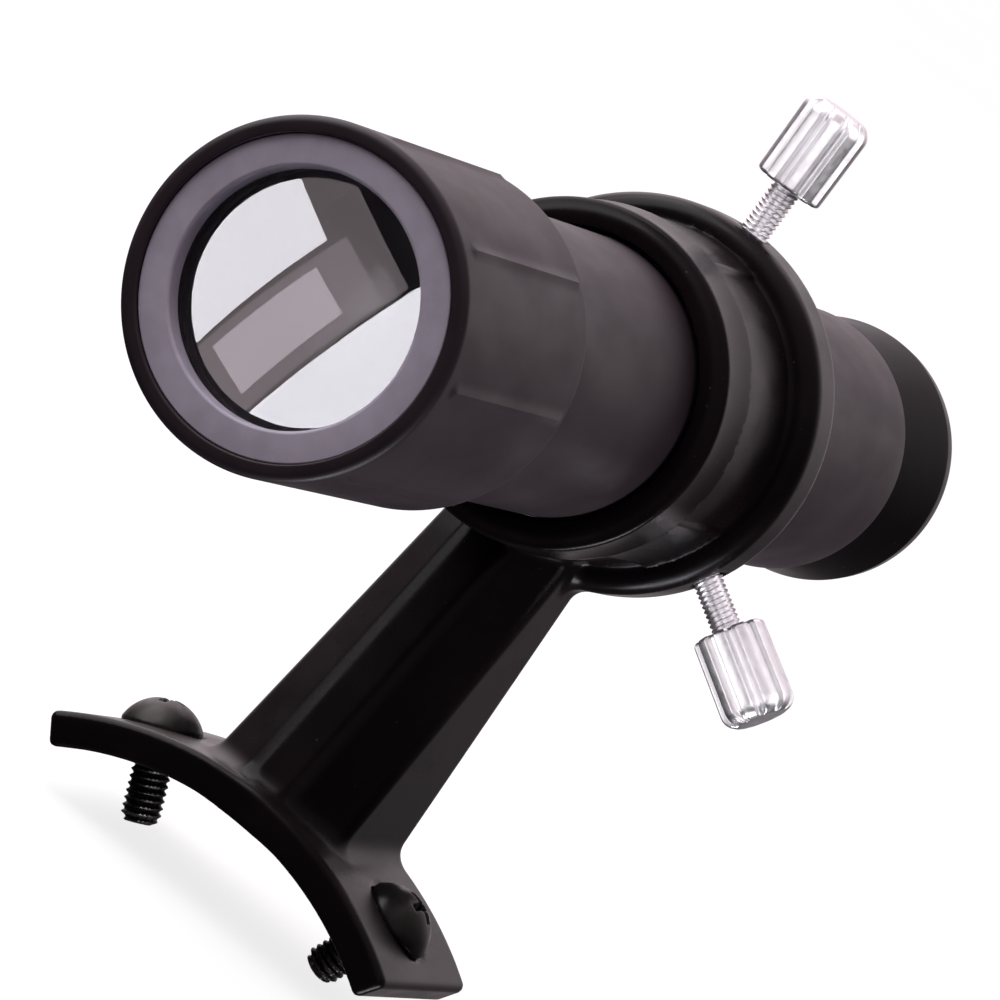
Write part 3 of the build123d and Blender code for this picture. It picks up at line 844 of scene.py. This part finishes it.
def build_tube():
    """The main tube, with a narrower threaded bore at the back for the eyepiece."""
    front, rear, radius = span("main_tube")
    thread_radius = bore("main_tube")
    inner = span("tube_baffle")[2] + FIT
    corners = [
        (front, inner, 0),
        (front, radius, 0.2),
        (rear, radius, 0.35),
        (rear, thread_radius, 0.2),
        (TUBE_THREAD_FRONT, thread_radius, 0),
        (TUBE_THREAD_FRONT, inner, 0),
    ]
    tube = turned(refined(rounded(corners), 3.0), segments=256)
    build("finder_tube", tube, "main_tube", "satin_black_plastic")


def build_front_ring():
    """The flat ring that holds the front glass in the hood."""
    front, rear, radius = span("objective_retaining_ring")
    clear = bore("objective_retaining_ring")
    corners = [(front, clear, 0.35), (front, radius, 0.15), (rear, radius, 0), (rear, clear, 0)]
    ring = turned(rounded(corners), segments=256)
    build("front_ring", ring, "objective_retaining_ring", "ring_plastic")


LENS_STEPS = 40


def face_curve(edge, sag, radius, outward):
    """Points from the middle of a lens face to its edge.

    edge is where the rim stands, and outward is the way out of the glass, 1 or -1."""
    shares = np.sin(np.linspace(0, math.pi / 2, LENS_STEPS))
    if sag == 0:
        return [(edge, share * radius) for share in shares]
    sphere = (radius**2 + sag**2) / (2 * abs(sag))
    fall = sphere - np.sqrt(sphere**2 - (shares * radius) ** 2)
    return [
        (edge + outward * math.copysign(abs(sag) - drop, sag), share * radius)
        for drop, share in zip(fall, shares)
    ]


def build_lens(name, node, front_sag, rear_sag, material=None):
    """A ground lens; a positive sag bulges outwards and a negative one is hollow."""
    front, rear, radius = span(node)
    front_edge = front + max(front_sag, 0)
    rear_edge = rear - max(rear_sag, 0)
    front_face = face_curve(front_edge, front_sag, radius, -1)
    rear_face = face_curve(rear_edge, rear_sag, radius, 1)
    outline = front_face + rear_face[::-1]
    return build(name, turned(outline), node, "lens_glass", material)


# ---- the eyepiece and its ring ----------------------------------------------------------------
BARREL_PITCH = 1.0
BARREL_THREAD_DEPTH = 0.3
GRIP_BORE = 11.63
GRIP_NECK_RADIUS = 12.3
GRIP_DISH_RADIUS = 11.0
GRIP_DISH_DEPTH = 2.7
GRIP_WALL_DEPTH = 4.5            # from the rear to the bore's end


def build_barrel():
    """The eyepiece barrel, threaded outside for the tube and the ring."""
    front, rear, radius = span("eyepiece_barrel")
    inner = span("eye_lens")[2] + FIT
    lip = bore("eyepiece_barrel")
    lip_rear = span("field_lens")[0] - FIT
    corners = [
        (front, lip, 0),
        (front, radius, 0.3),
        (rear, radius, 0.3),
        (rear, inner, 0),
        (lip_rear, inner, 0),
        (lip_rear, lip, 0),
    ]

    def thread(along, radii, angle):
        wave = np.abs((along / BARREL_PITCH - angle / (2 * math.pi)) % 1 - 0.5) * 2
        return np.where(radii > radius - 0.05, radii - BARREL_THREAD_DEPTH * wave, radii)

    barrel = turned(refined(rounded(corners), BARREL_PITCH / 8), segments=160, shape=thread)
    build("eyepiece_barrel_threaded", barrel, "eyepiece_barrel", "inner_black")


def build_focus_ring():
    """The ring at the eye end, flared and round-rimmed, with a shallow dish round the eye lens."""
    front, rear, radius = span("focus_ring")
    opening = bore("focus_ring")
    corners = [
        (front, GRIP_BORE, 0.15),
        (front, GRIP_NECK_RADIUS, 0.35),
        (front + 1.2, GRIP_NECK_RADIUS + 0.05, 0.6),
        (rear - 3.1, radius, 2.6),
        (rear, radius - 0.35, 0.9),
        (rear, GRIP_DISH_RADIUS, 0.6),
        (rear - GRIP_DISH_DEPTH, opening, 0.25),
        (rear - GRIP_WALL_DEPTH, opening, 0),
        (rear - GRIP_WALL_DEPTH, GRIP_BORE, 0),
    ]
    grip = turned(refined(rounded(corners), 2.0), segments=256)
    build("eye_end_ring", grip, "focus_ring", "focus_ring_plastic")


# ---- adjusting screws ---------------------------------------------------------------------------
KNOB_RADIUS = 3.65
KNOB_BORE_RADIUS = 1.52
KNOB_BORE_DEPTH = 5.55
KNOB_FLUTES = 10
FLUTE_DEPTH = 0.55
STUD_RADIUS = 1.5
STUD_TIP = 0.85
M3_PITCH = 0.5
M3_THREAD_DEPTH = 0.27


def screw_axis(side):
    """The line that a screw turns about."""
    joint = JOINTS[f"{side}_knob_turn"]
    origin = np.array(joint["pos_m"]) / MM
    return axis_frame(origin, joint["axis"])


def reach(node, axis):
    """How far a node starts and ends along an axis, in millimetres."""
    along = (node_points(node) - axis[0]).dot(axis[1])
    return along.min(), along.max()


def build_stud(side):
    """A threaded rod with a chamfered tip."""
    node = f"adjusting_stud_{side}"
    axis = screw_axis(side)
    start, stop = reach(node, axis)
    corners = [
        (start, 0, 0),
        (start, STUD_RADIUS - STUD_TIP, 0),
        (start + STUD_TIP, STUD_RADIUS, 0),
        (stop, STUD_RADIUS, 0.2),
        (stop, 0, 0),
    ]

    def thread(along, radii, angle):
        wave = np.abs((along / M3_PITCH - angle / (2 * math.pi)) % 1 - 0.5) * 2
        return np.where(radii > STUD_RADIUS - 0.02, radii - M3_THREAD_DEPTH * wave, radii)

    stud = turned(refined(rounded(corners), M3_PITCH / 8), axis, 64, thread)
    return build(f"screw_thread_{side}", stud, node, "screw_plating")


def build_knob(side):
    """A fluted knob, rounded at its outer end, with a blind hole for its stud."""
    node = f"adjusting_knob_{side}"
    axis = screw_axis(side)
    start, stop = reach(node, axis)
    corners = [
        (start, KNOB_BORE_RADIUS, 0),
        (start, KNOB_RADIUS - 0.1, 0.45),
        (stop, KNOB_RADIUS, 1.5),
        (stop, 0, 0),
        (start + KNOB_BORE_DEPTH, 0, 0),
        (start + KNOB_BORE_DEPTH, KNOB_BORE_RADIUS, 0),
    ]

    def flutes(along, radii, angle):
        wave = 0.5 + 0.5 * np.cos(angle * KNOB_FLUTES)
        groove = smooth_step(wave, 0.45, 0.95)
        share = smooth_step(radii, KNOB_RADIUS - 1.4, KNOB_RADIUS - 0.5)
        return radii - FLUTE_DEPTH * groove * share

    knob = turned(refined(rounded(corners), 0.3), axis, 240, flutes)
    return build(f"screw_knob_{side}", knob, node, "screw_plating")


# ---- build everything ---------------------------------------------------------------------------
BRACKET_STEP = 0.34
FOOT_SCREW_STEP = 0.16
CROWN_FRONT_SAG = 1.0


def build_bracket():
    """The moulding, meshed from its field."""
    moulding = meshed(bracket_field, BRACKET_LOW, BRACKET_HIGH, BRACKET_STEP)
    build("bracket_moulding", moulding, "mount_bracket", "gloss_black_moulding")


def build_foot_screws():
    """Both foot screws, each meshed in its own half of their node's box."""
    low, high = node_box("foot_screws")
    left_high = (-1.0, *high[1:])
    right_low = (1.0, *low[1:])
    left = meshed(foot_screw_field(-SCREW_TILT), low, left_high, FOOT_SCREW_STEP)
    right = meshed(foot_screw_field(SCREW_TILT), right_low, high, FOOT_SCREW_STEP)
    build("foot_screw_pair", joined(left, right), "foot_screws", "black_screw_steel")


build_bracket()
build_foot_screws()
build_hood()
build_tube()
build_front_ring()
front_glass = build_lens("crown_lens", "objective_crown_lens", CROWN_FRONT_SAG, 1.2)
build_lens("flint_lens", "objective_flint_lens", -1.3, 0.3, INNER_GLASS)
build_lens("field_lens_glass", "field_lens", 0.0, 1.5)
build_lens("eye_lens_glass", "eye_lens", 1.5, 1.2)
build_barrel()
build_focus_ring()
screw_pieces = [make(side) for side in SIDES for make in (build_stud, build_knob)]

# CAD nodes that are simple turned rings or wires keep their own mesh, in their slot's finish
for node in frame["nodes"].values():
    if not node.hide_render:
        slot = node.data.materials[0].name
        node.material_slots[0].link = "OBJECT"
        node.material_slots[0].material = MATERIALS[slot]

# ---- stage: floor, world, lights and camera -------------------------------------------------
CAMERA_PLACE = Vector((0.2286, -0.7428, 0.1414))
CAMERA_FORWARD = Vector((-0.3651, 0.9065, -0.2120))
CAMERA_UP = Vector((-0.6009, -0.0556, 0.7974))
CAMERA_LENS = 300.0
CAMERA_SIGHT = 30.0
FLOOR_SIZE = 8.0


def build_floor():
    """A pale floor that glows a little, so that it stays even; it adds no light to the object."""
    mesh = bpy.data.meshes.new("studio_floor")
    half = FLOOR_SIZE / 2
    level = CAD_BOX[0][2]
    corners = [(-half, -half), (half, -half), (half, half), (-half, half)]
    mesh.from_pydata([(x, y, level) for x, y in corners], [], [(0, 1, 2, 3)])
    floor = bpy.data.objects.new("studio_floor", mesh)
    bpy.context.scene.collection.objects.link(floor)
    shader = Shader("pale_floor")
    tone = shader.mix(shader.noise(40.0, 2), (0.3, 0.3, 0.303), (0.33, 0.33, 0.33))
    shader.set(Base_Color=tone, Roughness=0.9, Specular_IOR_Level=0.0)
    shader.set(Emission_Color=(1.0, 1.0, 1.0, 1.0), Emission_Strength=0.8)
    mesh.materials.append(shader.material)
    floor.visible_glossy = False
    floor.visible_diffuse = False
    floor.visible_shadow = False
    floor.visible_transmission = False


# How bright the studio is along a direction: from low to high of its dot product with a way of
# the camera, the level goes from the third number to the fourth. The levels are multiplied.
CAMERA_RIGHT = CAMERA_FORWARD.cross(CAMERA_UP)
WORLD_LEVELS = (
    (CAMERA_FORWARD, -0.1, 0.45, 0.24, 0.74),
    (CAMERA_UP, -0.5, 0.12, 0.05, 1.0),
    (CAMERA_UP, 0.3, 0.85, 1.0, 3.0),
    (CAMERA_RIGHT, -0.55, 0.0, 0.06, 1.0),
)


def build_world():
    """A white wall behind the object and above it, dark in front, below and to the left."""
    world = bpy.data.worlds.new("studio_world")
    bpy.context.scene.world = world
    world.use_nodes = True
    tree = world.node_tree
    tree.nodes.clear()

    def add(kind, inputs, output=0, **settings):
        node = tree.nodes.new(kind)
        for name, value in settings.items():
            setattr(node, name, value)
        for name, value in inputs.items():
            if isinstance(value, bpy.types.NodeSocket):
                tree.links.new(value, node.inputs[name])
            else:
                node.inputs[name].default_value = value
        return node.outputs[output]

    way = tree.nodes.new("ShaderNodeTexCoord").outputs["Generated"]

    def level_along(direction, low, high, to_low, to_high):
        """Brightness that changes smoothly with how far a direction points along another one."""
        ways = {0: way, 1: tuple(direction)}
        share = add("ShaderNodeVectorMath", ways, output=1, operation="DOT_PRODUCT")
        inputs = {"Value": share, 1: low, 2: high, 3: to_low, 4: to_high}
        return add("ShaderNodeMapRange", inputs, interpolation_type="SMOOTHSTEP")

    level, *others = (level_along(*numbers) for numbers in WORLD_LEVELS)
    for other in others:
        level = add("ShaderNodeMath", {0: level, 1: other}, operation="MULTIPLY")
    camera = tree.nodes.new("ShaderNodeLightPath").outputs["Is Camera Ray"]
    strength = add("ShaderNodeMix", {0: camera, 2: level, 3: 1.0}, data_type="FLOAT")
    white, warm = (1, 1, 1, 1), (1.0, 0.88, 0.93, 1)
    colour = add("ShaderNodeMix", {0: camera, 6: warm, 7: white}, output=2, data_type="RGBA")
    background = add("ShaderNodeBackground", {"Color": colour, "Strength": strength})
    output = tree.nodes.new("ShaderNodeOutputWorld")
    tree.links.new(background, output.inputs["Surface"])


def facing(place, forward, up):
    """A turn and place that look along forward, with up as near as can be to the top."""
    forward = forward.normalized()
    right = forward.cross(up).normalized()
    turn = Matrix((right, right.cross(forward), -forward)).transposed()
    return Matrix.Translation(place) @ turn.to_4x4()


def panel(name, place, target, up, size, radiance, colour):
    """A softbox that sends out the given radiance from its whole face."""
    data = bpy.data.lights.new(name, "AREA")
    data.shape = "RECTANGLE"
    data.size, data.size_y = size
    data.energy = radiance * math.pi * size[0] * size[1]
    data.color = colour
    light = bpy.data.objects.new(name, data)
    bpy.context.scene.collection.objects.link(light)
    light.matrix_world = facing(place, target - place, up)
    light.visible_camera = False
    return light


def only_for(name, objects):
    """A group of pieces for a light that falls on nothing else."""
    group = bpy.data.collections.new(name)
    for piece in objects:
        group.objects.link(piece)
    return group


# Panels that the front glass mirrors to the camera. Their places are given on the glass, as
# shares of its radius along a diagonal that runs up and to the left, and across it: where each
# panel's image starts and stops both ways, its radiance and its colour.
MIRRORED_DISTANCE = 0.8
MIRRORED_DIAGONAL = (-0.958, 0.286)
MIRRORED_PANELS = {
    "upper_panel": ((0.22, 1.15), (-1.2, 0.92), 15.5, (0.95, 0.93, 1.0)),
    "lower_panel": ((-1.2, -0.5), (-0.8, 1.2), 18.5, (0.95, 0.93, 1.0)),
    "dim_panel": ((-0.5, 0.95), (-1.15, 1.25), 2.2, (1.0, 0.86, 0.9)),
    "band_panel": ((-0.46, 0.18), (-0.85, 0.9), 1.6, (1.0, 0.85, 0.95)),
    "middle_panel": ((-0.34, 0.1), (-0.5, 0.55), 5.0, (0.96, 0.87, 1.0)),
}


def mirrored_point(glass, bulge, along, across):
    """What a point of the front glass mirrors to the camera, MIRRORED_DISTANCE away from it."""
    step_x, step_z = MIRRORED_DIAGONAL
    slope_x = bulge * (along * step_x + across * step_z)
    slope_z = bulge * (along * step_z - across * step_x)
    normal = Vector((slope_x, -1, slope_z)).normalized()
    sight = CAMERA_FORWARD.normalized()
    return glass + (sight - 2 * sight.dot(normal) * normal) * MIRRORED_DISTANCE


def build_mirrored_panels():
    """The panels that the front glass mirrors, which light nothing else."""
    glass_front, _, glass_radius = span("objective_crown_lens")
    glass = Vector((0, glass_front * MM, FINDER_Z * MM))
    bulge = 2 * CROWN_FRONT_SAG / glass_radius
    receivers = only_for("front_glass_only", [front_glass])
    for name, (along, across, radiance, colour) in MIRRORED_PANELS.items():
        centre = (sum(along) / 2, sum(across) / 2)
        low, high = (mirrored_point(glass, bulge, edge, centre[1]) for edge in along)
        left, right = (mirrored_point(glass, bulge, centre[0], edge) for edge in across)
        middle = (low + high) / 2
        height_way = (right - left).cross(glass - middle).normalized()
        size = ((right - left).length, abs((high - low).dot(height_way)))
        light = panel(name, middle, glass, height_way, size, radiance, colour)
        light.light_linking.receiver_collection = receivers


# Softboxes: name, place (right, up and back of the object's middle, in metres), way up, size,
# radiance, colour, and whether only the bright screws get its light
SOFTBOXES = (
    ("overhead_softbox", (-0.2, 0.7, -0.1), CAMERA_FORWARD, (0.7, 0.7), 2.4, (1, 1, 1), False),
    ("ground_bounce", (0, -0.6, -0.05), CAMERA_FORWARD, (0.35, 0.2), 10.0, (0.93, 0.95, 1), False),
    ("screw_light_left", (-0.7, 0, -0.3), CAMERA_UP, (0.8, 0.9), 1.7, (1, 0.985, 1), True),
    ("screw_light_front", (0, 0, -1.0), CAMERA_UP, (0.8, 0.9), 1.7, (1, 0.985, 1), True),
    ("screw_light_right", (0.7, 0, -0.3), CAMERA_UP, (0.8, 0.9), 1.7, (1, 0.985, 1), True),
)


def build_softboxes(middle):
    """The studio's lights, each turned to the object's middle."""
    screws = only_for("screws_only", screw_pieces)
    for name, (right, up, back), way_up, size, radiance, colour, screws_only in SOFTBOXES:
        place = middle + CAMERA_RIGHT * right + CAMERA_UP * up + CAMERA_FORWARD * back
        light = panel(name, place, middle, way_up, size, radiance, colour)
        if screws_only:
            light.light_linking.receiver_collection = screws


def build_camera(middle):
    """A long lens at the photo's viewing angle, turned to the object's middle."""
    data = bpy.data.cameras.new("camera")
    data.lens = CAMERA_LENS
    data.clip_end = CAMERA_SIGHT
    camera = bpy.data.objects.new("camera", data)
    bpy.context.scene.collection.objects.link(camera)
    camera.matrix_world = facing(CAMERA_PLACE, middle - CAMERA_PLACE, CAMERA_UP)
    bpy.context.scene.camera = camera


object_middle = (Vector(CAD_BOX[0]) + Vector(CAD_BOX[1])) / 2
build_floor()
build_world()
build_softboxes(object_middle)
build_mirrored_panels()
build_camera(object_middle)
bpy.context.scene.view_settings.view_transform = "Standard"
